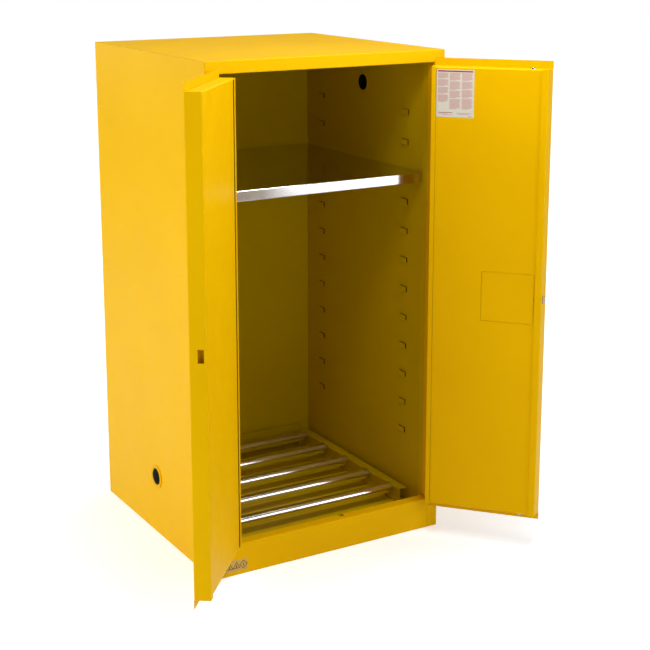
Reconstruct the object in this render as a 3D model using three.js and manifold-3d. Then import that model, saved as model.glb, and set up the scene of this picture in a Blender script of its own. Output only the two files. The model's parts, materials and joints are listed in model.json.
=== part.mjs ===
// A flammable-liquid storage cabinet for one upright drum: a double-walled steel case, two double-walled
// doors on full-length hinges, a three-point latch, one adjustable shelf and a bed of five rollers.
// Units are millimetres. +Z is up, +X is right and the doors face -Y. The origin is at the centre of the
// footprint, on the floor. Everything on a door is laid out with that door shut, then turned open.

import * as THREE from 'three';
import { mergeVertices } from 'three/addons/utils/BufferGeometryUtils.js';
import Module from 'manifold-3d';

const wasm = await Module();
wasm.setup();

// ---------------------------------------------------------------- driving dimensions

const WIDTH = 864;
const DEPTH = 864;
const HEIGHT = 1651;
const SHEET = 1.2;               // wall sheet, 18 gauge
const GAP = 0.3;                 // between pieces that touch
const WALL = 41;                 // outer face to inner face of a double wall
const JAMB = 58;                 // how far the frame folds back into the opening
const BEND = 1.6;                // inner radius of a fold
const SILL_TOP = 104;
const SILL_LEDGE = 42;
const FLOOR_TOP = 53.2;          // top of the sump floor

const VENT_RADIUS = 31;
const VENT_LOW = 205;
const VENT_HIGH = 1508;
const MESH_PITCH = 13;           // of the holes in a flame arrester

const TAB_TOP = 1441;            // top of the highest shelf tab
const TAB_PITCH = 102;
const TAB_LEVELS = 12;
const TAB_SIZE = { wide: 40, high: 22, out: 5 };
const TAB_COLUMNS = [-269, 286];

const SHELF = { front: -380, back: 385, half: 383.5, top: 1243, lip: 35, sheet: 1.5, level: 2 };

const ROLLERS = 5;
const ROLLER = { radius: 19, half: 345, height: 100, front: -267, pitch: 151.5, stub: 6 };
const RAIL = { web: 350, flange: 30, foot: 20, top: 110, front: -320, back: 385, sheet: 3 };

const DOOR = {
  thick: 51,                     // outer face to inner face
  front: -DEPTH / 2 - 1.9,       // outer face, a little in front of the frame
  free: 1.5,                     // free edge to the cabinet's centre plane, at the outer face
  draft: 6,                      // how much further back the free edge is at the inner face
  hinge: 385,                    // hinge-side edge
  low: 112,
  high: 1603,
  lipLow: 28,                    // the outer skin stands past the box by this, below
  lipHigh: 24,                   // and above
  returnFree: 22,
  returnHinge: 16,
  bevel: 4,
  recess: 4,                     // the inner panel lies this far under the skin's returns
  open: 131,                     // degrees open as it stands
};

const HINGE = { x: 388.8, y: -435.4, radius: 3, bore: 1.8, pin: 1.5, knuckles: 9, reach: 30 };

const LATCH = { x: 60, y: -400, z: 857, rod: 7, hole: 10, rodRest: 5, bolt: 6 };
const COVER = { x0: 34, x1: 206, z0: 775, z1: 940 };

// ---------------------------------------------------------------- derived planes

const HX = WIDTH / 2;
const HY = DEPTH / 2;
const CLEAR = HX - WALL;         // half the clear opening
const BACK = HY - WALL;          // inner face of the back wall
const CEILING = HEIGHT - 40;
const DOOR_INNER = DOOR.front + DOOR.thick;
const PANEL = DOOR_INNER - DOOR.recess;

// ---------------------------------------------------------------- colours

const paint = (color) => new THREE.MeshStandardMaterial({ color, roughness: 0.35, metalness: 0 });
const metal = (color, roughness) => new THREE.MeshStandardMaterial({ color, roughness, metalness: 1 });
const YELLOW = 0xffc400;
const ZINC = 0xc8cacc;
const CHROME = 0xe4e4e6;
const DARK = 0x2c2a26;

// ---------------------------------------------------------------- solids

function box(x0, x1, y0, y1, z0, z1) {
  const g = new THREE.BoxGeometry(Math.abs(x1 - x0), Math.abs(y1 - y0), Math.abs(z1 - z0));
  return g.translate((x0 + x1) / 2, (y0 + y1) / 2, (z0 + z1) / 2);
}

const shapeOf = (points) => new THREE.Shape(points.map(([u, v]) => new THREE.Vector2(u, v)));

function extrude(shape, length) {
  return new THREE.ExtrudeGeometry(shape, { depth: length, bevelEnabled: false, curveSegments: 6 });
}

// An outline in the XY plane, from z0 up to z1.
function alongZ(shape, z0, z1) {
  return extrude(shape, z1 - z0).translate(0, 0, z0);
}

// An outline in the YZ plane, from x0 to x1.
function alongX(shape, x0, x1) {
  const turn = new THREE.Matrix4().set(0, 0, 1, x0, 1, 0, 0, 0, 0, 1, 0, 0, 0, 0, 0, 1);
  return extrude(shape, x1 - x0).applyMatrix4(turn);
}

// An outline in the XZ plane, from y0 to y1.
function alongY(shape, y0, y1) {
  const turn = new THREE.Matrix4().set(1, 0, 0, 0, 0, 0, -1, y1, 0, 1, 0, 0, 0, 0, 0, 1);
  return extrude(shape, y1 - y0).applyMatrix4(turn);
}

function cylinderZ(x, y, radius, z0, z1, sides = 24) {
  const g = new THREE.CylinderGeometry(radius, radius, z1 - z0, sides);
  return g.rotateX(Math.PI / 2).translate(x, y, (z0 + z1) / 2);
}

function cylinderY(x, z, radius, y0, y1, sides = 24) {
  const g = new THREE.CylinderGeometry(radius, radius, y1 - y0, sides);
  return g.translate(x, (y0 + y1) / 2, z);
}

function cylinderX(y, z, radius, x0, x1, sides = 24) {
  const g = new THREE.CylinderGeometry(radius, radius, x1 - x0, sides);
  return g.rotateZ(Math.PI / 2).translate((x0 + x1) / 2, y, z);
}

const FOLD_STEPS = 4;
const ORIGIN = new THREE.Vector2(0, 0);

// The outline of a sheet folded along a line of points. The points are on its outer face, and the
// metal lies on the left of the line where side is 1 and on the right where it is -1.
function folded(points, thickness, side = 1, radius = BEND) {
  const path = points.map(([u, v]) => new THREE.Vector2(u, v));
  const outer = [];
  const inner = [];
  const normalOf = (a, b) => {
    const d = b.clone().sub(a).normalize();
    return new THREE.Vector2(-d.y, d.x).multiplyScalar(side);
  };
  path.forEach((p, i) => {
    if (i === 0 || i === path.length - 1) {
      const n = i === 0 ? normalOf(p, path[1]) : normalOf(path[i - 1], p);
      outer.push(p);
      inner.push(p.clone().addScaledVector(n, thickness));
      return;
    }
    const n0 = normalOf(path[i - 1], p);
    const n1 = normalOf(p, path[i + 1]);
    const bisector = n0.clone().add(n1).divideScalar(1 + n0.dot(n1));
    const metalInside = n0.dot(path[i + 1].clone().sub(p)) > 0;
    const sweep = Math.atan2(n0.cross(n1), n0.dot(n1));
    const centre = p.clone().addScaledVector(bisector, metalInside ? radius + thickness : -radius);
    for (let k = 0; k <= FOLD_STEPS; k += 1) {
      const n = n0.clone().rotateAround(ORIGIN, (sweep * k) / FOLD_STEPS);
      outer.push(centre.clone().addScaledVector(n, metalInside ? -radius - thickness : radius));
      inner.push(centre.clone().addScaledVector(n, metalInside ? -radius : radius + thickness));
    }
  });
  return new THREE.Shape([...outer, ...inner.reverse()]);
}

function solidOf(geometry) {
  const bare = geometry.clone();
  bare.deleteAttribute('normal');
  bare.deleteAttribute('uv');
  const merged = mergeVertices(bare, 1e-4);
  return new wasm.Manifold(new wasm.Mesh({
    numProp: 3,
    vertProperties: new Float32Array(merged.attributes.position.array),
    triVerts: new Uint32Array(merged.index.array),
  }));
}

function geometryOf(solid) {
  const mesh = solid.getMesh();
  const g = new THREE.BufferGeometry();
  g.setAttribute('position', new THREE.BufferAttribute(new Float32Array(mesh.vertProperties), 3));
  g.setIndex(new THREE.BufferAttribute(new Uint32Array(mesh.triVerts), 1));
  g.computeVertexNormals();
  return g;
}

const join = (...geometries) => geometryOf(geometries.map(solidOf).reduce((a, b) => a.add(b)));
const common = (a, b) => geometryOf(solidOf(a).intersect(solidOf(b)));
const cut = (geometry, ...tools) => (
  geometryOf(tools.reduce((solid, tool) => solid.subtract(solidOf(tool)), solidOf(geometry)))
);

// ---------------------------------------------------------------- scene graph

const group = new THREE.Group();

function add(name, geometry, material, parent = group) {
  const mesh = new THREE.Mesh(geometry, material);
  mesh.name = name;
  parent.add(mesh);
}

// A door's own group. Its pieces are given as they lie with the door shut.
function doorGroup(side) {
  const pivot = new THREE.Group();
  pivot.position.set(side * HINGE.x, HINGE.y, 0);
  pivot.rotation.z = THREE.MathUtils.degToRad(side * DOOR.open);
  const shut = new THREE.Group();
  shut.position.set(-side * HINGE.x, -HINGE.y, 0);
  pivot.add(shut);
  group.add(pivot);
  return shut;
}

const SIDES = [['left', -1], ['right', 1]];

// ---------------------------------------------------------------- outer case

for (const [name, s] of SIDES) {
  const section = folded(
    [[s * HX, HY], [s * HX, -HY], [s * CLEAR, -HY], [s * CLEAR, JAMB - HY]],
    SHEET,
    -s,
  );
  const ventHeight = s < 0 ? VENT_LOW : VENT_HIGH;
  const panel = cut(
    alongZ(section, 0, HEIGHT - SHEET - GAP),
    box(s * (HX - SHEET - GAP), s * (CLEAR - 5), -HY - 1, JAMB - HY + 1, CEILING - GAP, HEIGHT),
    box(s * (HX + 1), s * (HX - 9), -HY - 1, -HY + SHEET + GAP + BEND, CEILING - GAP, HEIGHT),
    box(s * (HX - SHEET - GAP), s * (CLEAR - 5), -HY + SHEET + BEND, JAMB - HY + 1, -1, SHEET + GAP),
    cylinderX(0, ventHeight, VENT_RADIUS + GAP, s > 0 ? HX - 9 : -HX - 9, s > 0 ? HX + 9 : 9 - HX),
  );
  add(`${name}_side_panel`, panel, paint(YELLOW));
}

add('back_panel', box(
  -HX + SHEET + GAP, HX - SHEET - GAP, HY - SHEET, HY, 0, HEIGHT - SHEET - GAP,
), paint(YELLOW));

const topSection = folded([[HY, HEIGHT], [-HY, HEIGHT], [-HY, CEILING], [JAMB - HY, CEILING]], SHEET);
add('top_panel', cut(
  alongX(topSection, -HX, HX),
  ...SIDES.map(([, s]) => box(
    s * (HX - SHEET - GAP), s * (HX + 1), -HY + SHEET + BEND, JAMB - HY + 1, CEILING - 1, CEILING + 4,
  )),
  cylinderZ(LATCH.x, LATCH.y, LATCH.hole, CEILING - 5, CEILING + 5),
), paint(YELLOW));

add('bottom_panel', box(
  -HX + SHEET + GAP, HX - SHEET - GAP, -HY + SHEET + BEND + GAP, HY - SHEET - GAP, 0, SHEET,
), paint(YELLOW));

const sillSection = folded(
  [[-HY, 0], [-HY, SILL_TOP], [SILL_LEDGE - HY, SILL_TOP], [SILL_LEDGE - HY, FLOOR_TOP]],
  SHEET,
  -1,
);
add('sill_panel', cut(
  alongX(sillSection, -CLEAR + GAP, CLEAR - GAP),
  cylinderZ(LATCH.x, LATCH.y, LATCH.hole, SILL_TOP - 5, SILL_TOP + 5),
), paint(YELLOW));

// ---------------------------------------------------------------- inner liner

// A shelf tab is a piece of the wall sheet pressed inwards: it slopes out of the wall from its lower
// edge and stands clear of it at the top, where the slot behind it is open.
function shelfTab(s, y, top) {
  const wall = s * (CLEAR + SHEET / 2);
  const out = s * (CLEAR - TAB_SIZE.out);
  const section = shapeOf([
    [wall, top - TAB_SIZE.high],
    [out, top - TAB_SIZE.high + 6],
    [out, top],
    [out + s * SHEET, top],
    [out + s * SHEET, top - TAB_SIZE.high + 7],
    [wall, top - TAB_SIZE.high + 3],
  ]);
  return alongY(section, y - TAB_SIZE.wide / 2, y + TAB_SIZE.wide / 2);
}

for (const [name, s] of SIDES) {
  const sheet = box(
    s * CLEAR, s * (CLEAR + SHEET), JAMB - HY + GAP, BACK - GAP, FLOOR_TOP + GAP, CEILING + SHEET,
  );
  const slots = [];
  const tabs = [];
  for (const y of TAB_COLUMNS) {
    for (let level = 0; level < TAB_LEVELS; level += 1) {
      const top = TAB_TOP - level * TAB_PITCH;
      const half = TAB_SIZE.wide / 2;
      slots.push(box(
        s * (CLEAR - 1), s * (CLEAR + SHEET + 1), y - half - 1, y + half + 1, top - TAB_SIZE.high + 3, top + 1,
      ));
      tabs.push(shelfTab(s, y, top));
    }
  }
  const ventHeight = s < 0 ? VENT_LOW : VENT_HIGH;
  const hole = cylinderX(
    0, ventHeight, VENT_RADIUS + GAP, s > 0 ? CLEAR - 9 : -CLEAR - 9, s > 0 ? CLEAR + 9 : 9 - CLEAR,
  );
  add(`${name}_liner`, join(cut(sheet, ...slots, hole), ...tabs), paint(YELLOW));
}

add('back_liner', box(
  -CLEAR + GAP, CLEAR - GAP, BACK, BACK + SHEET, FLOOR_TOP + GAP, CEILING - GAP,
), paint(YELLOW));

add('ceiling_liner', box(
  -CLEAR + GAP, CLEAR - GAP, JAMB - HY + GAP, BACK + SHEET, CEILING, CEILING + SHEET,
), paint(YELLOW));

const floorSection = folded(
  [[-CLEAR + GAP, FLOOR_TOP - 14], [-CLEAR + GAP, FLOOR_TOP], [CLEAR - GAP, FLOOR_TOP], [CLEAR - GAP, FLOOR_TOP - 14]],
  SHEET,
  -1,
);
add('sump_floor', alongY(floorSection, SILL_LEDGE - HY + GAP, BACK + SHEET), paint(YELLOW));

for (const [name, s] of SIDES) {
  const top = FLOOR_TOP - SHEET - GAP;
  const section = folded(
    [[s * 210, SHEET + GAP], [s * 240, SHEET + GAP], [s * 240, top], [s * 210, top]],
    2,
    s,
  );
  add(`${name}_floor_riser`, alongY(section, -HY + 60, HY - 60), metal(ZINC, 0.45));
}

// ---------------------------------------------------------------- vents

for (const [name, s] of SIDES) {
  const inner = VENT_RADIUS - 3;
  const depth = WALL + 2;
  const profile = [
    [inner, -depth], [VENT_RADIUS, -depth], [VENT_RADIUS, GAP], [40, GAP],
    [39, 3], [inner + 2, 3.4], [inner, 2],
  ].map(([r, h]) => new THREE.Vector2(r, h));
  profile.push(profile[0].clone());
  const socket = new THREE.LatheGeometry(profile, 32);
  socket.rotateZ(s > 0 ? -Math.PI / 2 : Math.PI / 2);
  socket.translate(s * HX, 0, s < 0 ? VENT_LOW : VENT_HIGH);
  add(`${name}_vent_socket`, socket, paint(YELLOW));

  const height = s < 0 ? VENT_LOW : VENT_HIGH;
  const face = s * (HX + 1.4);
  const meshHoles = [];
  for (let i = -1; i <= 1; i += 1) {
    for (let j = -1; j <= 1; j += 1) {
      const [y, z] = [i * MESH_PITCH, height + j * MESH_PITCH];
      meshHoles.push(box(face - 3, face + 3, y - 5, y + 5, z - 5, z + 5));
    }
  }
  const screen = cut(cylinderX(0, height, inner - GAP, face - 1, face + 1), ...meshHoles);
  add(`${name}_flame_arrester`, screen, metal(DARK, 0.5));
}

// ---------------------------------------------------------------- shelf

const shelfSection = folded(
  [
    [SHELF.front + 12, SHELF.top - SHELF.lip],
    [SHELF.front, SHELF.top - SHELF.lip],
    [SHELF.front, SHELF.top],
    [SHELF.back, SHELF.top],
    [SHELF.back, SHELF.top - SHELF.lip + 6],
  ],
  SHELF.sheet,
  -1,
);
const flangeLow = SHELF.top - 12;
add('shelf', join(
  alongX(shelfSection, -SHELF.half, SHELF.half),
  ...SIDES.map(([, s]) => box(
    s * SHELF.half, s * (SHELF.half - SHELF.sheet), SHELF.front + 8, SHELF.back - 8, flangeLow, SHELF.top - 0.5,
  )),
), metal(ZINC, 0.25));

const clipLow = flangeLow - GAP - 1.5;
const clipTop = TAB_TOP - SHELF.level * TAB_PITCH + 2;
TAB_COLUMNS.forEach((y, row) => {
  for (const [name, s] of SIDES) {
    const section = folded(
      [[s * 370, clipLow], [s * 385.4, clipLow], [s * 385.4, clipTop], [s * 390.4, clipTop]],
      1.5,
      s,
      0.4,
    );
    add(`${name}_${row ? 'rear' : 'front'}_shelf_clip`, alongY(section, y - 14, y + 14), metal(ZINC, 0.4));
  }
});

// ---------------------------------------------------------------- roller bed

const rollerY = (index) => ROLLER.front + index * ROLLER.pitch;

for (const [name, s] of SIDES) {
  const low = FLOOR_TOP + GAP;
  const section = folded(
    [[s * (RAIL.web + RAIL.foot), low], [s * RAIL.web, low], [s * RAIL.web, RAIL.top],
      [s * (RAIL.web + RAIL.flange), RAIL.top]],
    RAIL.sheet,
    -s,
    2,
  );
  const holes = [];
  for (let i = 0; i < ROLLERS; i += 1) {
    const [x0, x1] = s > 0 ? [RAIL.web - 5, RAIL.web + 9] : [-RAIL.web - 9, 5 - RAIL.web];
    holes.push(cylinderX(rollerY(i), ROLLER.height, ROLLER.stub + GAP, x0, x1, 16));
  }
  add(`${name}_roller_rail`, cut(alongY(section, RAIL.front, RAIL.back), ...holes), paint(YELLOW));
}

for (let i = 0; i < ROLLERS; i += 1) {
  const profile = [
    [0, -ROLLER.half - 15], [ROLLER.stub, -ROLLER.half - 15],
    [ROLLER.stub, -ROLLER.half], [ROLLER.radius, -ROLLER.half],
  ];
  const mirrored = profile.map(([r, h]) => [r, -h]).reverse();
  const outline = [...profile, ...mirrored].map(([r, h]) => new THREE.Vector2(r, h));
  const roller = new THREE.LatheGeometry(outline, 24);
  roller.rotateZ(-Math.PI / 2);
  roller.translate(0, rollerY(i), ROLLER.height);
  add(`roller_${i + 1}`, roller, metal(ZINC, 0.2));
}

const stopOuter = RAIL.web - GAP;
const stopLow = FLOOR_TOP + GAP;
add('drum_back_stop', alongY(shapeOf([
  [-stopOuter, stopLow], [-stopOuter + 14, stopLow], [-stopOuter + 14, 113], [stopOuter - 14, 113],
  [stopOuter - 14, stopLow], [stopOuter, stopLow], [stopOuter, 141], [-stopOuter, 141],
]), 372, 375), paint(YELLOW));

// ---------------------------------------------------------------- hinges

const hingeLow = DOOR.low + 2;
const knuckle = (DOOR.high - DOOR.low - 4) / HINGE.knuckles;

// One leaf of a full-length hinge: a strip with every second knuckle, each a tube round the pin.
function hingeLeaf(s, inside, outside, tab, first) {
  const top = hingeLow + HINGE.knuckles * knuckle;
  const pieces = [box(s * inside, s * outside, HINGE.y + 3.4, HINGE.y + 3.4 + HINGE.reach, hingeLow, top)];
  for (let k = first; k < HINGE.knuckles; k += 2) {
    const z0 = hingeLow + k * knuckle + GAP / 2;
    const z1 = z0 + knuckle - GAP;
    pieces.push(cylinderZ(s * HINGE.x, HINGE.y, HINGE.radius, z0, z1, 12));
    pieces.push(box(s * tab[0], s * tab[1], HINGE.y + 2, HINGE.y + 4, z0 + 1, z1 - 1));
  }
  return cut(join(...pieces), cylinderZ(s * HINGE.x, HINGE.y, HINGE.bore, hingeLow - 5, top + 5, 12));
}

for (const [name, s] of SIDES) {
  add(`${name}_hinge_frame_leaf`, hingeLeaf(s, 389.4, 390.6, [389.2, 390.4], 0), paint(YELLOW));
  add(`${name}_hinge_pin`, cylinderZ(
    s * HINGE.x, HINGE.y, HINGE.pin, hingeLow + 1, hingeLow + HINGE.knuckles * knuckle - 1, 10,
  ), metal(ZINC, 0.4));
}

// ---------------------------------------------------------------- doors

// How far the free edge is from the centre plane, at a given depth.
const freeEdgeAt = (y) => DOOR.free + (DOOR.draft * (y - DOOR.front)) / DOOR.thick;

function doorSkin(s) {
  const section = folded(
    [
      [s * (DOOR.free + DOOR.draft + DOOR.returnFree), DOOR_INNER],
      [s * (DOOR.free + DOOR.draft), DOOR_INNER],
      [s * DOOR.free, DOOR.front],
      [s * DOOR.hinge, DOOR.front],
      [s * DOOR.hinge, DOOR_INNER],
      [s * (DOOR.hinge - DOOR.returnHinge), DOOR_INNER],
    ],
    SHEET,
    s,
  );
  const walls = alongZ(section, DOOR.low, DOOR.high);
  const inset = 3;
  const plate = box(
    s * (DOOR.free + inset), s * (DOOR.hinge - inset),
    DOOR.front, DOOR.front + SHEET, DOOR.low - DOOR.lipLow, DOOR.high + DOOR.lipHigh,
  );
  const lips = box(
    s * DOOR.free, s * DOOR.hinge,
    DOOR.front, DOOR.front + SHEET, DOOR.low - DOOR.lipLow, DOOR.high + DOOR.lipHigh,
  );
  const between = box(s * -5, s * (DOOR.hinge + 5), DOOR.front - 2, DOOR_INNER, DOOR.low, DOOR.high);
  return join(walls, plate, cut(lips, between));
}

// The inner panel: a flat sheet a little under the skin's returns, closed above and below by caps with
// a narrow bevel.
function doorInner(s, openings) {
  const face = box(
    0, s * DOOR.hinge, PANEL - SHEET, PANEL, DOOR.low + DOOR.bevel, DOOR.high - DOOR.bevel,
  );
  const caps = [[DOOR.high, -1], [DOOR.low, 1]].map(([edge, inwards]) => alongX(folded(
    [
      [PANEL, edge + inwards * (DOOR.bevel + 1.5)],
      [PANEL, edge + inwards * DOOR.bevel],
      [PANEL - DOOR.bevel, edge],
      [DOOR.front + SHEET + BEND / 2, edge],
    ],
    SHEET,
    -inwards,
    0.3,
  ), Math.min(0, s * DOOR.hinge), Math.max(0, s * DOOR.hinge)));
  const side = SHEET + BEND / 2;
  const cavity = alongZ(shapeOf([
    [s * (DOOR.free + side), DOOR.front],
    [s * (DOOR.free + DOOR.draft + side), DOOR_INNER + 1],
    [s * (DOOR.hinge - side), DOOR_INNER + 1],
    [s * (DOOR.hinge - side), DOOR.front],
  ]), DOOR.low - 1, DOOR.high + 1);
  return cut(common(join(face, ...caps), cavity), ...openings);
}

const leftDoor = doorGroup(-1);
const rightDoor = doorGroup(1);

const edgeHole = (s, high, deep) => box(
  s * -3, s * 20, LATCH.y - deep, LATCH.y + deep, LATCH.z - high, LATCH.z + high,
);

add('left_door_skin', cut(doorSkin(-1), edgeHole(-1, 20, 9)), paint(YELLOW), leftDoor);
add('left_door_inner_panel', doorInner(-1, []), paint(YELLOW), leftDoor);
add('left_hinge_door_leaf', hingeLeaf(-1, 385.3, 386.5, [385.3, 387.2], 1), paint(YELLOW), leftDoor);

// A cup behind the pocket in the left door's free edge, which the bolt enters.
const cupAt = (y) => -freeEdgeAt(y) - SHEET - GAP;
const cupFront = LATCH.y - 12;
const cupBack = LATCH.y + 11;
const cupSection = folded(
  [[cupAt(cupFront), cupFront], [cupAt(cupFront) - 22, cupFront], [cupAt(cupFront) - 22, cupBack],
    [cupAt(cupBack), cupBack]],
  1.5,
  -1,
  0.5,
);
add('strike_cup', alongZ(cupSection, LATCH.z - 25, LATCH.z + 25), paint(YELLOW), leftDoor);

const spindleHole = cylinderY(LATCH.x, LATCH.z, 7, DOOR.front - 5, DOOR.front + 5);
const lockZ = LATCH.z - 46;
const lockHole = cylinderY(LATCH.x, lockZ, 8.4, DOOR.front - 5, DOOR.front + 5);
add('right_door_skin', cut(doorSkin(1), edgeHole(1, 12, 7), spindleHole, lockHole), paint(YELLOW), rightDoor);

const rodHole = (z) => cylinderZ(LATCH.x, LATCH.y, LATCH.hole, z - 14, z + 14);
const seam = 0.9;
add('right_door_inner_panel', doorInner(1, [
  rodHole(DOOR.high),
  rodHole(DOOR.low),
  box(COVER.x0 - seam, COVER.x1 + seam, PANEL - 5, PANEL + 5, COVER.z0 - seam, COVER.z1 + seam),
]), paint(YELLOW), rightDoor);
add('latch_access_cover', box(
  COVER.x0, COVER.x1, PANEL - SHEET, PANEL, COVER.z0, COVER.z1,
), paint(YELLOW), rightDoor);
add('right_hinge_door_leaf', hingeLeaf(1, 385.3, 386.5, [385.3, 387.2], 1), paint(YELLOW), rightDoor);

// ---------------------------------------------------------------- three-point latch

function roundedPlate(halfWide, halfHigh, radius) {
  const s = new THREE.Shape();
  s.absarc(halfWide - radius, halfHigh - radius, radius, 0, Math.PI / 2);
  s.absarc(radius - halfWide, halfHigh - radius, radius, Math.PI / 2, Math.PI);
  s.absarc(radius - halfWide, radius - halfHigh, radius, Math.PI, 1.5 * Math.PI);
  s.absarc(halfWide - radius, radius - halfHigh, radius, 1.5 * Math.PI, 2 * Math.PI);
  return s;
}

const plateBack = DOOR.front - GAP;
const plateMid = LATCH.z - 16;
add('handle_escutcheon', cut(
  alongY(roundedPlate(21, 66, 12), plateBack - 4, plateBack).translate(LATCH.x, 0, plateMid),
  cylinderY(LATCH.x, LATCH.z, 9, plateBack - 9, plateBack + 5),
  cylinderY(LATCH.x, lockZ, 9.3, plateBack - 9, plateBack + 5),
), metal(CHROME, 0.12), rightDoor);

// The lever points away from the free edge when the latch is drawn back.
const grip = new THREE.Shape();
grip.absarc(0, 0, 15, Math.PI / 2, 1.5 * Math.PI);
grip.absarc(118, 0, 9, -Math.PI / 2, Math.PI / 2);
const gripBack = plateBack - 22;
add('latch_handle', join(
  alongY(grip, gripBack - 12, gripBack).translate(LATCH.x, 0, LATCH.z),
  cylinderY(LATCH.x, LATCH.z, 13, gripBack - 2, plateBack - 4 - GAP),
  cylinderY(LATCH.x, LATCH.z, 5, plateBack - 8, LATCH.y + 11),
), metal(CHROME, 0.12), rightDoor);

add('lock_cylinder', cut(
  cylinderY(LATCH.x, lockZ, 8, plateBack - 7, DOOR.front + 18),
  box(LATCH.x - 4, LATCH.x + 4, plateBack - 8, plateBack - 3, lockZ - 0.8, lockZ + 0.8),
), metal(CHROME, 0.2), rightDoor);

add('latch_cam', cut(
  cylinderY(LATCH.x, LATCH.z, 26, LATCH.y + 3, LATCH.y + 7, 32),
  cylinderY(LATCH.x, LATCH.z, 5.3, LATCH.y, LATCH.y + 10),
), metal(ZINC, 0.4), rightDoor);

const rodEnd = 34;
add('upper_latch_rod', cylinderZ(
  LATCH.x, LATCH.y, LATCH.rod, LATCH.z + rodEnd, DOOR.high + LATCH.rodRest,
), metal(ZINC, 0.25), rightDoor);
add('lower_latch_rod', cylinderZ(
  LATCH.x, LATCH.y, LATCH.rod, DOOR.low - LATCH.rodRest, LATCH.z - rodEnd,
), metal(ZINC, 0.25), rightDoor);

add('centre_latch_bolt', box(
  0, 33, LATCH.y - LATCH.bolt, LATCH.y + LATCH.bolt - 4, LATCH.z - 11, LATCH.z + 11,
), metal(CHROME, 0.2), rightDoor);

for (const [name, z] of [['upper', DOOR.high - 110], ['lower', DOOR.low + 110]]) {
  add(`${name}_rod_guide`, cut(
    box(LATCH.x - 15, LATCH.x + 15, DOOR.front + SHEET + GAP, LATCH.y + 11, z - 10, z + 10),
    cylinderZ(LATCH.x, LATCH.y, LATCH.rod + GAP, z - 20, z + 20),
  ), metal(ZINC, 0.5), rightDoor);
}

for (const [name, z0] of [['header', CEILING + SHEET + GAP], ['sill', SILL_TOP - SHEET - GAP - 2.5]]) {
  add(`${name}_strike`, cut(
    box(LATCH.x - 22, LATCH.x + 22, LATCH.y - 18, LATCH.y + (z0 < LATCH.z ? 7 : 18), z0, z0 + 2.5),
    cylinderZ(LATCH.x, LATCH.y, LATCH.hole, z0 - 5, z0 + 8),
  ), metal(ZINC, 0.45));
}

export default group;
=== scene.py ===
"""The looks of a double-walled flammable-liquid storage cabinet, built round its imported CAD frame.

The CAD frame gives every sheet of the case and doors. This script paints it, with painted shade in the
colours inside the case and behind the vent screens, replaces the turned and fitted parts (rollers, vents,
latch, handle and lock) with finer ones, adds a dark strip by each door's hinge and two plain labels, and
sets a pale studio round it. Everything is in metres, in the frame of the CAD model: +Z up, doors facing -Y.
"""

import json
import math

import bmesh
import bpy
from mathutils import Matrix, Vector


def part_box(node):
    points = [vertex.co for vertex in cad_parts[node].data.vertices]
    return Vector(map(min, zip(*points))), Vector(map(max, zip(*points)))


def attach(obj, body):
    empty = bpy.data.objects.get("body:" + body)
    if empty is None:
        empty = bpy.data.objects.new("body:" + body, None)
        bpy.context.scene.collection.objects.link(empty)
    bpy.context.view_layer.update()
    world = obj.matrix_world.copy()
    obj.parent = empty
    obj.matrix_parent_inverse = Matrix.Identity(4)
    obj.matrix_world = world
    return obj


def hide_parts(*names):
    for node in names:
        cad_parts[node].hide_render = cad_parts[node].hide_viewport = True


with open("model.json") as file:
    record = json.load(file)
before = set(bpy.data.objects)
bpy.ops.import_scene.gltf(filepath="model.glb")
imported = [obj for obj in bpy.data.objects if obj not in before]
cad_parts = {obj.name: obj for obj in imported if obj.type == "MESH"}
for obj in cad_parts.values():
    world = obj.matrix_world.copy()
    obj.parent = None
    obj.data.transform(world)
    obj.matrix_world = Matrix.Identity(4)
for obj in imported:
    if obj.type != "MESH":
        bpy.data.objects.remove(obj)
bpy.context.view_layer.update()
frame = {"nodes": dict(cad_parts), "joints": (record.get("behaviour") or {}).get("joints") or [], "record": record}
MM = 0.001


# ---------------------------------------------------------------- camera, light and floor

CAMERA = {"spot": (-2.266, -4.225, 2.035), "azimuth": -30.63, "tilt": -12.40, "lens": 78.7, "shift": -0.13}

SKY = 0.16                     # brightness of the room all round
PAPER = 1.0                    # brightness of the backdrop as it is seen

# Each light: place, what it points at, width and height, power in watts, and a colour if it isn't white.
LIGHTS = {
    "left_panel": ((-4.2, -0.6, 1.6), (0, 0, 0.8), (2.4, 2.4), 80),
    "left_rear_panel": ((-4.0, 1.6, 1.0), (0, 0, 0.8), (2.4, 1.6), 31),
    "top_panel": ((0, 0.6, 5.0), (0, 0.2, 0.9), (2.4, 2.4), 84),
    "header_panel": ((0.2, -1.4, 2.9), (0, -0.4, 1.5), (1.4, 0.5), 29),
    "inner_panel": ((-0.5, -3.2, 1.75), (0, 0.4, 1.45), (0.8, 0.4), 9),
    "right_panel": ((4.2, -2.2, 1.8), (0, -0.4, 0.9), (1.6, 1.6), 41),
    "rear_panel": ((-2.2, 4.4, 2.6), (0, 0, 0.8), (2.6, 2.6), 45),
    "roller_card": ((1.98, -4.0, 2.1), (1.98, 0, 2.1), (1.55, 2.3), 26),
    "high_strip": ((3.88, -4.0, 0.64), (3.88, 0, 0.64), (4.04, 0.40), 18),
    "warm_card": ((1.40, -4.0, 0.46), (1.40, 0, 0.46), (0.90, 0.96), 0.62, (1.0, 0.52, 0.005)),
}


def make_camera():
    data = bpy.data.cameras.new("camera")
    data.sensor_fit = "HORIZONTAL"
    data.sensor_width = 36
    data.lens = CAMERA["lens"]
    data.shift_y = CAMERA["shift"]
    camera = bpy.data.objects.new("camera", data)
    camera.location = CAMERA["spot"]
    camera.rotation_euler = (math.radians(90 + CAMERA["tilt"]), 0, math.radians(CAMERA["azimuth"]))
    bpy.context.scene.collection.objects.link(camera)
    bpy.context.scene.camera = camera


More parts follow.
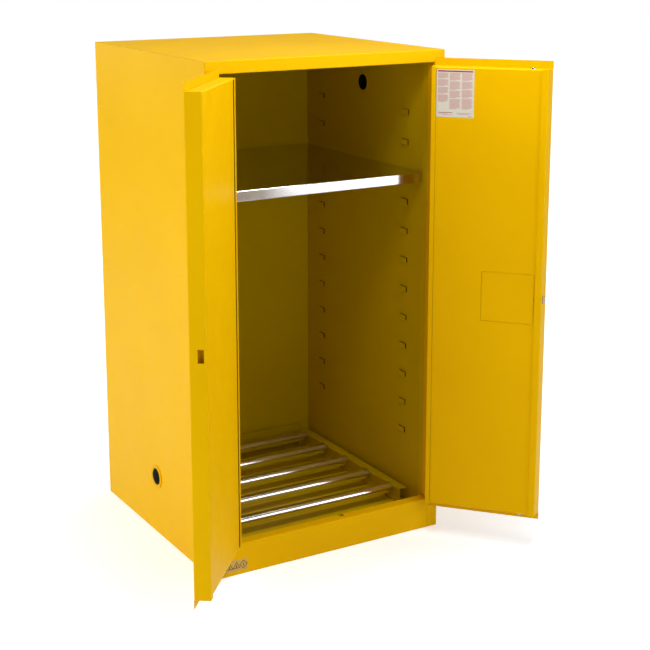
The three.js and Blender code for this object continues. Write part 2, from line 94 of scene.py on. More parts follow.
def make_light(name, spot, target, size, power, colour=(1, 1, 1)):
    data = bpy.data.lights.new(name, "AREA")
    data.shape = "RECTANGLE"
    data.size, data.size_y = size
    data.energy = power
    data.color = colour
    light = bpy.data.objects.new(name, data)
    light.location = spot
    light.rotation_euler = (Vector(target) - Vector(spot)).to_track_quat("-Z", "Y").to_euler()
    light.visible_camera = False
    bpy.context.scene.collection.objects.link(light)


def make_world():
    """An even, dim room, which the camera sees as plain white paper."""
    world = bpy.data.worlds.new("studio")
    world.use_nodes = True
    tree = world.node_tree
    tree.nodes.clear()
    room = tree.nodes.new("ShaderNodeBackground")
    paper = tree.nodes.new("ShaderNodeBackground")
    room.inputs["Color"].default_value = paper.inputs["Color"].default_value = (1, 1, 1, 1)
    room.inputs["Strength"].default_value = SKY
    paper.inputs["Strength"].default_value = PAPER
    path = tree.nodes.new("ShaderNodeLightPath")
    mix = tree.nodes.new("ShaderNodeMixShader")
    out = tree.nodes.new("ShaderNodeOutputWorld")
    tree.links.new(path.outputs["Is Camera Ray"], mix.inputs["Fac"])
    tree.links.new(room.outputs[0], mix.inputs[1])
    tree.links.new(paper.outputs[0], mix.inputs[2])
    tree.links.new(mix.outputs[0], out.inputs["Surface"])
    bpy.context.scene.world = world


make_camera()
make_world()
for light_name, settings in LIGHTS.items():
    make_light(light_name, *settings)
bpy.context.scene.view_settings.view_transform = "Standard"


# ---------------------------------------------------------------- materials

class Finish:
    """A material's node tree, with short calls for the nodes that the finishes below share."""

    def __init__(self, name):
        self.material = bpy.data.materials.new(name)
        self.material.use_nodes = True
        self.tree = self.material.node_tree
        self.shader = self.tree.nodes["Principled BSDF"]
        self.place = self.tree.nodes.new("ShaderNodeTexCoord").outputs["Object"]

    def node(self, kind, **values):
        made = self.tree.nodes.new("ShaderNode" + kind)
        for key, value in values.items():
            setattr(made, key, value)
        return made

    def link(self, a, b):
        self.tree.links.new(a, b)

    def set(self, **values):
        for key, value in values.items():
            self.shader.inputs[key.replace("_", " ")].default_value = value

    def stretched(self, scale):
        mapping = self.node("Mapping")
        mapping.inputs["Scale"].default_value = scale
        self.link(self.place, mapping.inputs["Vector"])
        return mapping.outputs[0]

    def noise(self, size, detail=2.0, scale=(1, 1, 1), rough=0.5):
        """Smooth noise, about 0 to 1, whose features are `size` metres across."""
        made = self.node("TexNoise")
        made.inputs["Scale"].default_value = 1 / size
        made.inputs["Detail"].default_value = detail
        made.inputs["Roughness"].default_value = rough
        self.link(self.stretched(scale), made.inputs["Vector"])
        return made.outputs["Fac"]

    def spread(self, value, low, high, start=0.0, end=1.0):
        made = self.node("MapRange")
        for key, number in (("From Min", start), ("From Max", end), ("To Min", low), ("To Max", high)):
            made.inputs[key].default_value = number
        self.link(value, made.inputs["Value"])
        return made.outputs[0]

    def within(self, aside, along, height):
        """1 inside a block, given as (low, high) pairs, and 0 outside. `aside` is on both sides of x = 0."""
        split = self.node("SeparateXYZ")
        self.link(self.place, split.inputs[0])
        distance = self.node("Math", operation="ABSOLUTE")
        self.link(split.outputs["X"], distance.inputs[0])
        inside = None
        for value, (low, high) in (
            (distance.outputs[0], aside), (split.outputs["Y"], along), (split.outputs["Z"], height),
        ):
            test = self.node("Math", operation="COMPARE")
            self.link(value, test.inputs[0])
            test.inputs[1].default_value = (low + high) / 2
            test.inputs[2].default_value = (high - low) / 2
            if inside is None:
                inside = test.outputs[0]
                continue
            both = self.node("Math", operation="MULTIPLY")
            self.link(inside, both.inputs[0])
            self.link(test.outputs[0], both.inputs[1])
            inside = both.outputs[0]
        return inside

    def blend(self, factor, a, b):
        """Colour a to colour b. Either may be a tuple or a node's output."""
        made = self.node("Mix", data_type="RGBA")
        self.link(factor, made.inputs["Factor"])
        for key, colour in (("A", a), ("B", b)):
            socket = next(s for s in made.inputs if s.name == key and s.type == "RGBA")
            if isinstance(colour, tuple):
                socket.default_value = (*colour, 1)
            else:
                self.link(colour, socket)
        return next(s for s in made.outputs if s.type == "RGBA")

    def colour(self, value):
        self.link(value, self.shader.inputs["Base Color"])

    def rough(self, value):
        self.link(value, self.shader.inputs["Roughness"])

    def bump(self, height, depth, strength=1.0):
        """Relief of `depth` metres. Calls add up."""
        made = self.node("Bump")
        made.inputs["Distance"].default_value = depth
        made.inputs["Strength"].default_value = strength
        self.link(height, made.inputs["Height"])
        if self.shader.inputs["Normal"].links:
            self.link(self.shader.inputs["Normal"].links[0].from_socket, made.inputs["Normal"])
        self.link(made.outputs[0], self.shader.inputs["Normal"])


YELLOW = (0.86, 0.49, 0.0)
YELLOW_DEEP = (0.83, 0.465, 0.0)

# Painted shade: the case has one yellow paint, and these colours darken it to stand in for the shade inside the
# case, on the jambs' returns and on the bed under the rollers, and almost to black for the shade in the hollow of
# the double wall.
LINER_PAINTED_SHADE = (0.59, 0.40, 0.0)
LINER_PAINTED_SHADE_DEEP = (0.56, 0.378, 0.0)
JAMB_PAINTED_SHADE = (0.62, 0.425, 0.0)
BED_PAINTED_SHADE = (0.49, 0.325, 0.0)
IN_SHADE = (0.05, 0.034, 0.004)

# Blocks of the case that take painted shade, each as (low, high) pairs: distance from the centre plane, y and z.
JAMBS = ((0.36, 0.3918), (-0.431, 0.0), (0.1042, 1.6108))
CAVITY = ((0.392, 0.4311), (-0.431, 0.431), (0.002, 1.6495))
# Painted shade: the bed under the rollers is painted darker still, for the shade under the rollers.
ROLLER_BED = ((0.0, 0.3845), (-0.37, 0.3865), (0.07, 0.15))


def powder_coat(name, light=YELLOW, deep=YELLOW_DEEP, areas=()):
    """Semi-gloss powder coat: faint orange peel, a slight wave in the sheet, a little uneven in tone.
    `areas` are (block, colour) pairs of painted shade: darker colours over parts of the sheet that lie in shade."""
    made = Finish(name)
    made.set(IOR=1.45, Specular_IOR_Level=0.16, Specular_Tint=(1.0, 0.7, 0.12, 1.0))
    tone = made.blend(made.spread(made.noise(0.35), 0, 1, 0.3, 0.7), deep, light)
    for block, colour in areas:
        tone = made.blend(made.within(*block), tone, colour)
    made.colour(tone)
    made.rough(made.spread(made.noise(0.06, detail=4), 0.33, 0.45, 0.3, 0.7))
    made.bump(made.noise(0.28, detail=0), 0.004, 0.05)
    made.bump(made.noise(0.0022), 0.0002, 0.25)
    return made.material


def zinc(name, tone=0.66, size=0.012, rough=(0.11, 0.16)):
    """Zinc-coated sheet: a faint spangle of crystals, each with its own tone and gloss."""
    made = Finish(name)
    made.set(Metallic=1.0)
    cells = made.node("TexVoronoi")
    cells.inputs["Scale"].default_value = 1 / size
    made.link(made.place, cells.inputs["Vector"])
    grey = made.node("RGBToBW")
    made.link(cells.outputs["Color"], grey.inputs[0])
    made.colour(made.blend(grey.outputs[0], (tone * 0.9,) * 3, (tone, tone, tone * 1.02)))
    made.rough(made.spread(grey.outputs[0], *rough))
    made.bump(made.noise(0.004), 0.0002, 0.15)
    return made.material


def turned(name, tone=0.7, axis=0, rough=(0.11, 0.17)):
    """Bright turned steel, with fine lines round the axis it was turned on."""
    made = Finish(name)
    made.set(Metallic=1.0)
    scale = [1, 1, 1]
    scale[axis] = 60
    lines = made.noise(0.06, detail=4, scale=tuple(scale))
    made.colour(made.blend(lines, (tone * 0.94,) * 3, (tone,) * 3))
    made.rough(made.spread(lines, *rough))
    made.bump(lines, 0.00005, 0.04)
    return made.material


def plated(name, tone=0.86, rough=(0.05, 0.12)):
    """Polished plating, a little marked by hands."""
    made = Finish(name)
    made.set(Metallic=1.0)
    smears = made.noise(0.03, detail=5)
    made.colour(made.blend(smears, (tone * 0.94,) * 3, (tone,) * 3))
    made.rough(made.spread(smears, *rough))
    made.bump(made.noise(0.05), 0.001, 0.05)
    return made.material


def dark_wire(name):
    made = Finish(name)
    made.set(Metallic=0.8)
    patches = made.noise(0.004, detail=3)
    made.colour(made.blend(patches, (0.006, 0.006, 0.004), (0.03, 0.03, 0.015)))
    made.rough(made.spread(patches, 0.4, 0.65))
    made.bump(patches, 0.0002, 0.2)
    return made.material


def printed(name, colour, wear=0.85):
    """Ink or label stock, a little uneven."""
    made = Finish(name)
    made.set(Specular_IOR_Level=0.35)
    made.colour(made.blend(made.noise(0.012, detail=4), tuple(c * wear for c in colour), colour))
    made.rough(made.spread(made.noise(0.02), 0.4, 0.55))
    made.bump(made.noise(0.001), 0.00005, 0.2)
    return made.material


def floor_paper(name):
    """Pale paper that fades into the backdrop away from the cabinet, so that no edge of it is seen."""
    made = Finish(name)
    made.colour(made.blend(made.noise(0.8), (0.86, 0.89, 0.94), (0.88, 0.91, 0.96)))
    made.set(Roughness=0.9, Specular_IOR_Level=0.1, Emission_Color=(1, 1, 1, 1))
    away = made.node("VectorMath", operation="LENGTH")
    made.link(made.place, away.inputs[0])
    seen = made.node("Math", operation="MULTIPLY")
    made.link(made.spread(away.outputs["Value"], 0.40, 1.0, 0.9, 4.0), seen.inputs[0])
    made.link(made.node("LightPath").outputs["Is Camera Ray"], seen.inputs[1])
    made.link(seen.outputs[0], made.shader.inputs["Emission Strength"])
    return made.material


FINISHES = {
    # Painted shade: the case paint is darker on the jambs' returns and near black in the hollow of the double
    # wall.
    "case_paint": powder_coat("case_paint", areas=[(JAMBS, JAMB_PAINTED_SHADE), (CAVITY, IN_SHADE)]),
    # Painted shade: the liner's colours are the case paint darkened for the shade inside the case, darker still on
    # the roller bed and near black in the hollow of the double wall.
    "liner_paint": powder_coat(
        "liner_paint", LINER_PAINTED_SHADE, LINER_PAINTED_SHADE_DEEP, [(ROLLER_BED, BED_PAINTED_SHADE), (CAVITY, IN_SHADE)],
    ),
    "door_paint": powder_coat("door_paint"),
    "hinge_paint": powder_coat("hinge_paint"),
    "galvanised": zinc("galvanised"),
    "clip_zinc": zinc("clip_zinc", tone=0.58, size=0.004),
    "roller_steel": turned("roller_steel", tone=0.80),
    "rod_steel": turned("rod_steel", tone=0.72, axis=2),
    "chrome": plated("chrome"),
    "screen": dark_wire("screen"),
}

SLOT_OF = {part["node"]: part["material_slot"] for part in frame["record"]["subparts"]}
SMOOTH_ANGLE = math.radians(32)


def dress(obj, slot):
    obj.data.materials.clear()
    obj.data.materials.append(FINISHES[slot])


for node_name, node in frame["nodes"].items():
    dress(node, SLOT_OF[node_name])


# ---------------------------------------------------------------- shapes

def place(origin, right, up):
    """The matrix that puts local x along `right`, y along `up`, and z square to both, out of the face."""
    u, v = Vector(right), Vector(up)
    turn = Matrix((u, v, u.cross(v))).transposed()
    return Matrix.Translation(origin) @ turn.to_4x4()


ALONG_X = ((0, 1, 0), (0, 0, 1))         # right and up for an axis along +X
ALONG_Z = ((1, 0, 0), (0, 1, 0))
OUT_LEFT = ((0, -1, 0), (0, 0, 1))       # and for faces that look towards -X, -Y and +Y
OUT_FRONT = ((1, 0, 0), (0, 0, 1))
OUT_BACK = ((-1, 0, 0), (0, 0, 1))


def full_turn(count):
    """The angles of `count` even steps round a circle."""
    return [2 * math.pi * i / count for i in range(count)]


def skin(shape, low, high):
    """Adds the band of faces between two loops with the same number of points."""
    for i in range(len(low)):
        j = (i + 1) % len(low)
        shape.faces.new((low[i], low[j], high[j], high[i]))


def lathe(shape, profile, sides=64):
    """Adds a turned solid about local z, from (radius, height) points that start and end on the axis."""
    rings = []
    for radius, height in profile:
        turns = full_turn(sides) if radius > 0 else [0.0]
        rings.append([shape.verts.new((radius * math.cos(t), radius * math.sin(t), height)) for t in turns])
    for low, high in zip(rings, rings[1:]):
        for i in range(sides):
            j = (i + 1) % sides
            corners = [low[i % len(low)], low[j % len(low)], high[j % len(high)], high[i % len(high)]]
            shape.faces.new(list(dict.fromkeys(corners)))


def ring(shape, profile, sides=64):
    """Adds a turned ring about local z, from a closed loop of (radius, height) points."""
    loops = []
    for radius, height in profile:
        turns = full_turn(sides)
        loops.append([shape.verts.new((radius * math.cos(t), radius * math.sin(t), height)) for t in turns])
    for low, high in zip(loops, loops[1:] + loops[:1]):
        skin(shape, low, high)


def prism(shape, outline, low, high, material=0, bevel=0.0):
    """Adds the solid from an (x, y) outline at height `low` up to `high`, its top edge rounded by `bevel`."""
    base = [shape.verts.new((u, v, low)) for u, v in outline]
    top = [shape.verts.new((u, v, high)) for u, v in outline]
    lid = shape.faces.new(top)
    faces = [shape.faces.new(base[::-1]), lid]
    for i in range(len(outline)):
        j = (i + 1) % len(outline)
        faces.append(shape.faces.new((base[i], base[j], top[j], top[i])))
    for face in faces:
        face.material_index = material
    if bevel:
        bmesh.ops.bevel(shape, geom=list(lid.edges), offset=bevel, segments=4, profile=0.5, affect="EDGES")


def pierced(shape, outline, hole, low, high, bevel):
    """Adds a plate like a prism, with a hole right through it, given as a second (x, y) outline."""
    loops, rims = [], []                   # outline and hole at the low level, then at the high level
    for height in (low, high):
        level = []
        for points in (outline, hole):
            verts = [shape.verts.new((u, v, height)) for u, v in points]
            edges = [shape.edges.new(pair) for pair in zip(verts, verts[1:] + verts[:1])]
            loops.append(verts)
            rims.append(edges)
            level += edges
        bmesh.ops.triangle_fill(shape, use_beauty=True, use_dissolve=False, edges=level)
    for base, top in ((loops[0], loops[2]), (loops[1], loops[3])):
        skin(shape, base, top)
    bmesh.ops.bevel(shape, geom=rims[2], offset=bevel, segments=4, profile=0.5, affect="EDGES")


def rounded(x0, x1, y0, y1, radius, steps=6):
    """The outline of a rectangle with rounded corners."""
    corners = ((x1, y1, 0), (x0, y1, 90), (x0, y0, 180), (x1, y0, 270))
    points = []
    for x, y, start in corners:
        cx = x - math.copysign(radius, x - (x0 + x1) / 2)
        cy = y - math.copysign(radius, y - (y0 + y1) / 2)
        for i in range(steps + 1):
            turn = math.radians(start + 90 * i / steps)
            points.append((cx + radius * math.cos(turn), cy + radius * math.sin(turn)))
    return points


def tube(shape, path, radius, sides=6):
    """Adds a round bar along a list of points."""
    loops = []
    for i, point in enumerate(path):
        ahead = path[min(i + 1, len(path) - 1)] - path[max(i - 1, 0)]
        across = ahead.cross(Vector((0, 0, 1))).normalized()
        over = across.cross(ahead).normalized()
        spokes = [math.cos(t) * across + math.sin(t) * over for t in full_turn(sides)]
        loops.append([shape.verts.new(point + radius * spoke) for spoke in spokes])
    for low, high in zip(loops, loops[1:]):
        skin(shape, low, high)
    shape.faces.new(loops[0][::-1])
    shape.faces.new(loops[-1])


def loft(shape, stations, power=2.6, sides=28):
    """Adds a body through rounded sections: each is (x, y centre, z centre, half height, half thickness)."""
    loops = []
    for x, y, z, tall, thick in stations:
        loop = []
        for t in full_turn(sides):
            c, s = math.cos(t), math.sin(t)
            reach_y = math.copysign(abs(c) ** (2 / power), c) * tall
            reach_z = math.copysign(abs(s) ** (2 / power), s) * thick
            loop.append(shape.verts.new((x, y + reach_y, z + reach_z)))
        loops.append(loop)
    for low, high in zip(loops, loops[1:]):
        skin(shape, low, high)
    shape.faces.new(loops[0][::-1])
    shape.faces.new(loops[-1])


def merge(shape, other):
    """Adds another bmesh to this one."""
    spare = bpy.data.meshes.new("spare")
    other.to_mesh(spare)
    other.free()
    shape.from_mesh(spare)
    bpy.data.meshes.remove(spare)


def piece(name, shape, where, body, slot=None, stands_for=(), finishes=()):
    """Turns a finished bmesh, laid out in local axes, into an object that rides on a body."""
    bmesh.ops.recalc_face_normals(shape, faces=shape.faces)
    shape.transform(where)
    mesh = bpy.data.meshes.new(name)
    shape.to_mesh(mesh)
    shape.free()
    mesh.shade_smooth()
    mesh.set_sharp_from_angle(angle=SMOOTH_ANGLE)
    obj = bpy.data.objects.new(name, mesh)
    bpy.context.scene.collection.objects.link(obj)
    for finish in finishes or (FINISHES[slot],):
        mesh.materials.append(finish)
    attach(obj, body)
    if stands_for:
        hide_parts(*stands_for)
    return obj


# ---------------------------------------------------------------- doors, as if shut

def shut_frame(joint_name):
    """The matrix that swings a point laid out with the door shut to where the door stands open."""
    joint = next(j for j in frame["joints"] if j["name"] == joint_name)
    pivot = Vector(joint["pos_m"])
    swing = Matrix.Rotation(-math.radians(joint["range_deg"][0]), 4, Vector(joint["axis"]))
    return Matrix.Translation(pivot) @ swing @ Matrix.Translation(-pivot)


RIGHT_DOOR = shut_frame("right_door_hinge")
LEFT_DOOR = shut_frame("left_door_hinge")


def shut_box(node_name, door):
    """The lowest and highest corner of a door's CAD node with that door shut."""
    back = door.inverted()
    points = [back @ v.co for v in frame["nodes"][node_name].data.vertices]
    return Vector(map(min, *points)), Vector(map(max, *points))


# ---------------------------------------------------------------- dark strips by the hinges

RETURN = 16 * MM               # width of the door skin's return, beside the hinge
STRIP_WIDE = 2 * MM                  # width of the strip
STRIP_SHORT = 6 * MM            # the strip stops this far short of the panel's ends


def strip_finish(name):
    made = Finish(name)
    made.set(Specular_IOR_Level=0.2)
    mottle = made.noise(0.01, detail=4)
    made.colour(made.blend(mottle, (0.035, 0.018, 0.006), (0.06, 0.03, 0.01)))
    made.rough(made.spread(mottle, 0.6, 0.8))
    made.bump(made.noise(0.002), 0.0001, 0.2)
    return made.material


STRIP_FINISH = strip_finish("dark_strip_finish")


def make_dark_strip(side, door):
    """A dark strip, 2 mm wide, in the gap between the inner panel and the skin's return by the hinge."""
    lo, hi = shut_box(side + "_door_skin", door)
    panel_lo, panel_hi = shut_box(side + "_door_inner_panel", door)
    inner = hi.x - RETURN if side == "right" else -lo.x - RETURN
    hand = 1 if side == "right" else -1
    outline = [(hand * x, y) for x, y in (
        (inner, panel_hi.y + 0.1 * MM), (inner + STRIP_WIDE, panel_hi.y + 0.1 * MM),
        (inner + STRIP_WIDE, hi.y - 1.5 * MM), (inner, hi.y - 1.5 * MM),
    )]
    shape = bmesh.new()
    prism(shape, outline, panel_lo.z + STRIP_SHORT, panel_hi.z - STRIP_SHORT)
    piece(side + "_door_dark_strip", shape, door, side + "_door", finishes=[STRIP_FINISH])


make_dark_strip("left", LEFT_DOOR)
make_dark_strip("right", RIGHT_DOOR)


# ---------------------------------------------------------------- rollers

COLLAR = 9.5 * MM              # the bearing's inner ring, in the end of a roller
RIM = 1.4 * MM                 # wall of the tube, seen at its end
CHAMFER = 0.8 * MM
BEARING_IN = 0.2 * MM          # the bearing's ring lies this far inside the roller's end
SEAL_IN = 2.2 * MM             # and the face round it this far
STUB = 15 * MM                 # the axle stands out of the roller by this
STUB_RADIUS = 6 * MM


def make_roller(name):
    lo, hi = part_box(name)
    radius = (hi.z - lo.z) / 2
    half = (hi.x - lo.x) / 2
    end = half - STUB
    outer = [
        (STUB_RADIUS - CHAMFER, half), (STUB_RADIUS, half - CHAMFER), (STUB_RADIUS, end - BEARING_IN),
        (COLLAR, end - BEARING_IN), (COLLAR, end - SEAL_IN), (radius - RIM, end - SEAL_IN),
        (radius - RIM, end), (radius - CHAMFER, end), (radius, end - CHAMFER),
    ]
    profile = [(0, half), *outer, *[(r, -h) for r, h in reversed(outer)], (0, -half)]
    shape = bmesh.new()
    lathe(shape, profile, sides=72)
    piece(name + "_tube", shape, place((lo + hi) / 2, *ALONG_X), name, "roller_steel", [name])


for roller in sorted(n for n in frame["nodes"] if n.startswith("roller_")):
    make_roller(roller)


# ---------------------------------------------------------------- wall vents

VENT_BORE = 28.4 * MM
VENT_FLANGE = 3.4 * MM         # how far the flange stands out of the side panel
WIRE = 0.8 * MM                # radius of a wire
WIRE_PITCH = 5.4 * MM
SCREEN_RISE = 3 * MM           # how far the screen bulges outward at its middle
# Painted shade: a solid dark disc, which the real vent lacks, sits behind the screen so that the bore behind the
# wires reads dark.
SHADE_DISC = (-16 * MM, -14 * MM)  # a solid dark disc, this far behind the screen's middle


def woven(shape, radius, rise):
    """Adds two sets of wires that pass over and under each other, cut to a disc that bulges by `rise`."""
    count = int(radius / WIRE_PITCH)
    for across in (0, 1):
        for k in range(-count, count + 1):
            offset = k * WIRE_PITCH
            reach = math.sqrt(radius ** 2 - offset ** 2)
            steps = max(2, int(4 * reach / WIRE_PITCH))
            path = []
            for i in range(steps + 1):
                along = reach * (2 * i / steps - 1)
                wave = WIRE * math.cos(math.pi * (along / WIRE_PITCH + k + across))
                wave += rise * (1 - (along ** 2 + offset ** 2) / radius ** 2)
                path.append(Vector((offset, along, wave)) if across else Vector((along, offset, wave)))
            tube(shape, path, WIRE)


def make_vent(side, facing):
    lo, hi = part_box(side + "_vent_socket")
    panel_lo, panel_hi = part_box(side + "_side_panel")
    outward = -1 if side == "left" else 1
    face = panel_lo.x if side == "left" else panel_hi.x
    inner = hi.x if side == "left" else lo.x
    deep = abs(inner - face)
    flange = (hi.z - lo.z) / 2
    middle = (lo + hi) / 2
    where = place((face, middle.y, middle.z), *facing)
    lip = VENT_FLANGE
    shape = bmesh.new()
    ring(shape, [
        (VENT_BORE, -deep), (VENT_BORE, 0), (VENT_BORE + 0.6 * MM, lip - 0.8 * MM),
        (VENT_BORE + 1.6 * MM, lip), (VENT_BORE + 3.4 * MM, lip), (VENT_BORE + 4.6 * MM, lip - 1.2 * MM),
        (flange - 3 * MM, lip - 1.2 * MM), (flange - 2.4 * MM, lip), (flange - 0.6 * MM, lip),
        (flange, lip - 0.6 * MM),
        (flange, 0.3 * MM), (VENT_BORE + 2 * MM, 0.3 * MM), (VENT_BORE + 2 * MM, -deep),
    ])
    piece(side + "_vent_flange", shape, where, "cabinet", "case_paint", [side + "_vent_socket"])
    screen_lo, screen_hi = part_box(side + "_flame_arrester")
    depth = outward * ((screen_lo.x + screen_hi.x) / 2 - face)
    edge = (screen_hi.z - screen_lo.z) / 2
    shape = bmesh.new()
    woven(shape, edge - 1.2 * MM, SCREEN_RISE)
    # The screen's rim runs back through the bore as a thin dark sleeve: partly the arrester's steel cage, partly
    # painted shade that darkens the bore's wall.
    thick = (screen_hi.x - screen_lo.x) / 2 + 0.6 * MM
    tail = -deep - depth
    ring(shape, [
        (edge - 1.0 * MM, tail), (edge, tail), (edge, thick), (edge - 0.8 * MM, thick + 0.8 * MM),
        (edge - 2.4 * MM, thick + 0.8 * MM), (edge - 3.2 * MM, thick), (edge - 3.2 * MM, -thick),
        (edge - 1.0 * MM, -thick),
    ])
    # Painted shade: the solid dark disc behind the wires.
    rim = edge - 1.1 * MM
    lathe(shape, [(0, SHADE_DISC[0]), (rim, SHADE_DISC[0]), (rim, SHADE_DISC[1]), (0, SHADE_DISC[1])])
    in_bore = where @ Matrix.Translation((0, 0, depth))
    piece(side + "_vent_mesh", shape, in_bore, "cabinet", "screen", [side + "_flame_arrester"])


make_vent("left", OUT_LEFT)
make_vent("right", ALONG_X)


# ---------------------------------------------------------------- latch, handle and lock

def make_rod(name, door=RIGHT_DOOR):
    lo, hi = shut_box(name, door)
    radius = (hi.x - lo.x) / 2
    half = (hi.z - lo.z) / 2
    tip = [(radius * 0.62, half), (radius * 0.84, half - 0.6 * MM), (radius, half - 2.4 * MM)]
    shape = bmesh.new()
    lathe(shape, [(0, half), *tip, *[(r, -h) for r, h in reversed(tip)], (0, -half)], sides=40)
    where = door @ place((lo + hi) / 2, *ALONG_Z)
    piece(name + "_bar", shape, where, name.replace("_latch", ""), "rod_steel", [name])


def make_bolt():
    lo, hi = shut_box("centre_latch_bolt", RIGHT_DOOR)
    shape = bmesh.new()
    outline = rounded(lo.x, hi.x, lo.z, hi.z, 2.5 * MM)
    prism(shape, outline, 0, hi.y - lo.y, bevel=1.0 * MM)
    where = RIGHT_DOOR @ place((0, hi.y, 0), *OUT_FRONT)
    piece("centre_latch_nose", shape, where, "centre_bolt", "rod_steel", ["centre_latch_bolt"])


def make_handle():
    lo, hi = shut_box("latch_handle", RIGHT_DOOR)
    plate_lo, plate_hi = shut_box("handle_escutcheon", RIGHT_DOOR)
    lock_lo, lock_hi = shut_box("lock_cylinder", RIGHT_DOOR)
    joint = next(j for j in frame["joints"] if j["name"] == "handle_turn")
    hub = RIGHT_DOOR.inverted() @ Vector(joint["pos_m"])
    back = plate_hi.y                                      # the plate's face against the door
    where = RIGHT_DOOR @ place((0, back, 0), *OUT_FRONT)   # local x and y are the door's x and z
    front = back - lo.y                                    # how far out the lever's face is
    lever = 12 * MM
    mid = front - lever / 2
    plate = back - plate_lo.y
    shape = bmesh.new()
    reach = hi.x - hub.x
    tall = [
        (-15.0, 0.2, 0.3), (-14.2, 4.4, 2.6), (-11.5, 9.6, 4.6), (-6, 13.6, 5.7), (0, 14.8, 6.0),
        (8, 14.2, 6.0), (18, 11.4, 5.8), (32, 9.4, 5.4), (60, 8.8, 5.0), (90, 9.0, 5.0),
        (108, 9.2, 5.2), (118, 8.4, 5.0), (124, 5.6, 3.8), (126.4, 2.4, 1.8), (127, 0.2, 0.3),
    ]
    stretch = reach / (127 * MM)
    loft(shape, [
        (hub.x + u * MM * stretch, hub.z, mid, half * MM, thick * MM) for u, half, thick in tall
    ])
    boss = bmesh.new()
    lathe(boss, [
        (0, plate + 0.3 * MM), (15 * MM, plate + 0.3 * MM), (15.5 * MM, plate + 1.2 * MM),
        (13 * MM, plate + 3 * MM), (11.5 * MM, plate + 6 * MM), (11.5 * MM, mid), (0, mid),
    ], sides=48)
    boss.transform(Matrix.Translation((hub.x, hub.z, 0)))
    merge(shape, boss)
    piece("latch_lever", shape, where, "handle", "chrome", ["latch_handle"])

    shape = bmesh.new()
    outline = rounded(plate_lo.x, plate_hi.x, plate_lo.z, plate_hi.z, 14 * MM, steps=10)
    key = (lock_lo + lock_hi) / 2
    lock_radius = (lock_hi.x - lock_lo.x) / 2
    bore = lock_radius + 0.3 * MM
    hole = [(key.x + bore * math.cos(t), key.z + bore * math.sin(t)) for t in full_turn(48)]
    pierced(shape, outline, hole, 0, plate, 1.8 * MM)
    for z in (plate_lo.z + 9 * MM, plate_hi.z - 9 * MM):
        stud = bmesh.new()
        lathe(stud, [(0, plate - 1 * MM), (4.2 * MM, plate - 1 * MM), (4.0 * MM, plate + 0.8 * MM),
                     (2.6 * MM, plate + 1.8 * MM), (0, plate + 2.1 * MM)], sides=32)
        stud.transform(Matrix.Translation(((plate_lo.x + plate_hi.x) / 2, z, 0)))
        merge(shape, stud)
    collar = bmesh.new()
    ring(collar, [
        (bore, plate - 1 * MM), (lock_radius + 4.5 * MM, plate - 1 * MM),
        (lock_radius + 4.0 * MM, plate + 1.2 * MM), (lock_radius + 2.6 * MM, plate + 2.2 * MM),
        (bore, plate + 2.2 * MM),
    ])
    collar.transform(Matrix.Translation((key.x, key.z, 0)))
    merge(shape, collar)
    piece("handle_plate", shape, where, "right_door", "chrome", ["handle_escutcheon"])

    shape = bmesh.new()
    face = back - lock_lo.y
    tail = back - lock_hi.y
    slot = bmesh.new()
    lathe(shape, [
        (0, tail), (lock_radius, tail), (lock_radius, face - 0.8 * MM), (lock_radius - 0.8 * MM, face),
        (lock_radius * 0.62, face), (lock_radius * 0.58, face - 0.5 * MM), (0, face - 0.5 * MM),
    ], sides=48)
    keyway = rounded(-0.7 * MM, 0.7 * MM, -3.4 * MM, 3.4 * MM, 0.6 * MM)
    prism(slot, keyway, face - 0.9 * MM, face - 0.46 * MM, 1)
    merge(shape, slot)
    shape.transform(Matrix.Translation((key.x, key.z, 0)))
    finishes = [FINISHES["chrome"], FINISHES["screen"]]
    piece("lock_barrel", shape, where, "lock", "chrome", ["lock_cylinder"], finishes)


for rod in ("upper_latch_rod", "lower_latch_rod"):
    make_rod(rod)
make_bolt()
make_handle()


# ---------------------------------------------------------------- labels

STOCK = 0.25 * MM              # thickness of a label
INK = 0.06 * MM                # printed marks stand this far out of it
PAPER_STOCK = printed("label_paper", (0.72, 0.69, 0.58), 0.95)
PALE_INK = printed("label_pale_ink", (0.58, 0.27, 0.29))
HEADING_INK = printed("label_heading_ink", (0.38, 0.035, 0.05))
CLEAR_STOCK = printed("sticker_film", (0.66, 0.42, 0.10), 0.92)
DARK_INK = printed("sticker_ink", (0.20, 0.105, 0.012))


def bar(shape, start, end, width, material=1):
    """Adds a printed stroke between two (x, y) points of a label."""
    a, b = Vector(start), Vector(end)
    along = (b - a).normalized() * width / 2
    side = Vector((-along.y, along.x))
    outline = [a - along - side, b + along - side, b + along + side, a - along + side]
    prism(shape, outline, STOCK, STOCK + INK, material)


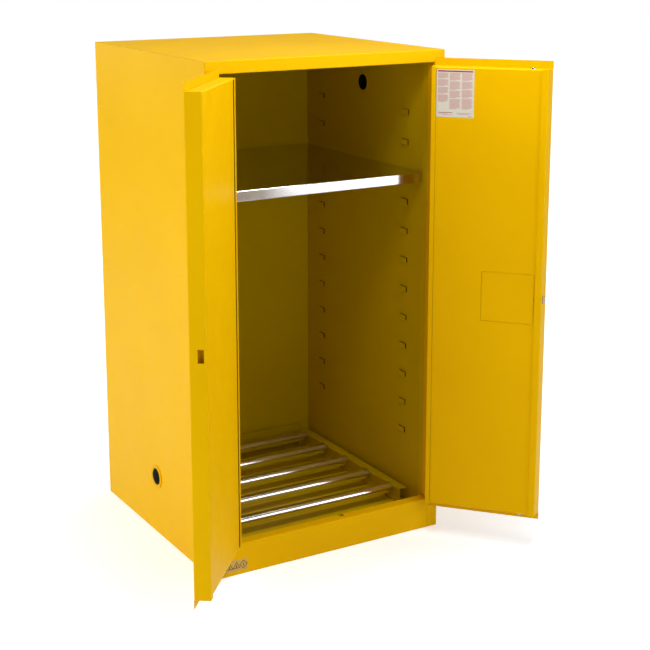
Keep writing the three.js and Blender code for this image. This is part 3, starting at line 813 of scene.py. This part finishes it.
def make_notice():
    """The notice by the hinge, inside the right door: a heading bar and columns of plain ruled lines."""
    wide, tall = 123 * MM, 153 * MM
    _, hi = shut_box("right_door_inner_panel", RIGHT_DOOR)
    _, skin_hi = shut_box("right_door_skin", RIGHT_DOOR)
    where = RIGHT_DOOR @ place((skin_hi.x - RETURN - 1 * MM, hi.y, hi.z - 9 * MM - tall), *OUT_BACK)
    shape = bmesh.new()
    prism(shape, rounded(0, wide, 0, tall, 2 * MM), 0.02 * MM, STOCK)
    heading = rounded(4 * MM, wide - 4 * MM, tall - 7.5 * MM, tall - 3 * MM, 0.8 * MM)
    prism(shape, heading, STOCK, STOCK + INK, 2)
    line, pitch, space = 1.4 * MM, 2.7 * MM, 4 * MM
    columns = ((5, (7, 8, 8, 9)), (44, (9, 10, 9, 12)), (84, (9, 9, 9, 13)))
    for left, blocks in columns:
        y = tall - 11.5 * MM
        for rows in blocks:
            for row in range(rows):
                length = (34 - (row * 7 + left + rows) % 5) * MM if row < rows - 1 else 21 * MM
                bar(shape, (left * MM, y), (left * MM + length, y), line)
                y -= pitch
            y -= space - pitch / 2
    for left, length, y, width, ink in (
        (8, 44, 15, 2.0, 2), (8, 30, 11, 1.2, 1), (20, 34, 8, 1.2, 1),
        (66, 48, 14, 1.4, 1), (72, 36, 10.5, 1.4, 1), (106, 10, 4, 1.4, 2),
    ):
        bar(shape, (left * MM, y * MM), ((left + length) * MM, y * MM), width * MM, ink)
    finishes = [PAPER_STOCK, PALE_INK, HEADING_INK]
    piece("door_notice", shape, where, "right_door", finishes=finishes)


def make_sticker():
    """The small film sticker low on the sill: three plain pictogram frames."""
    wide, tall = 78 * MM, 38 * MM
    lo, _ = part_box("sill_panel")
    where = place((lo.x + 2 * MM, lo.y, 13 * MM), *OUT_FRONT)
    shape = bmesh.new()
    prism(shape, rounded(0, wide, 0, tall, 3 * MM), 0.02 * MM, STOCK)
    stroke = 2.4 * MM
    for centre, corners, start in ((13, 3, 90), (38, 3, 90), (63, 4, 90)):
        middle = Vector((centre * MM, tall / 2 - (2 * MM if corners == 3 else 0)))
        turns = [math.radians(start + 360 * k / corners) for k in range(corners)]
        points = [middle + 13.5 * MM * Vector((math.cos(t), math.sin(t))) for t in turns]
        for a, b in zip(points, points[1:] + points[:1]):
            bar(shape, a, b, stroke)
        reach = Vector((0, 3.4 * MM))
        bar(shape, middle - reach, middle + reach * 0.6, 4.2 * MM)
    piece("sill_sticker", shape, where, "cabinet", finishes=[CLEAR_STOCK, DARK_INK])


make_notice()
make_sticker()


# ---------------------------------------------------------------- floor

FLOOR_HALF = 14                # half the width of the floor
FLOOR_DROP = 1 * MM            # the floor lies this far under the cabinet, so that no faces meet


def make_floor():
    mesh = bpy.data.meshes.new("floor")
    shape = bmesh.new()
    bmesh.ops.create_grid(shape, x_segments=1, y_segments=1, size=FLOOR_HALF)
    shape.to_mesh(mesh)
    shape.free()
    floor = bpy.data.objects.new("floor", mesh)
    floor.location.z = -FLOOR_DROP
    mesh.materials.append(floor_paper("floor_paper"))
    bpy.context.scene.collection.objects.link(floor)


make_floor()
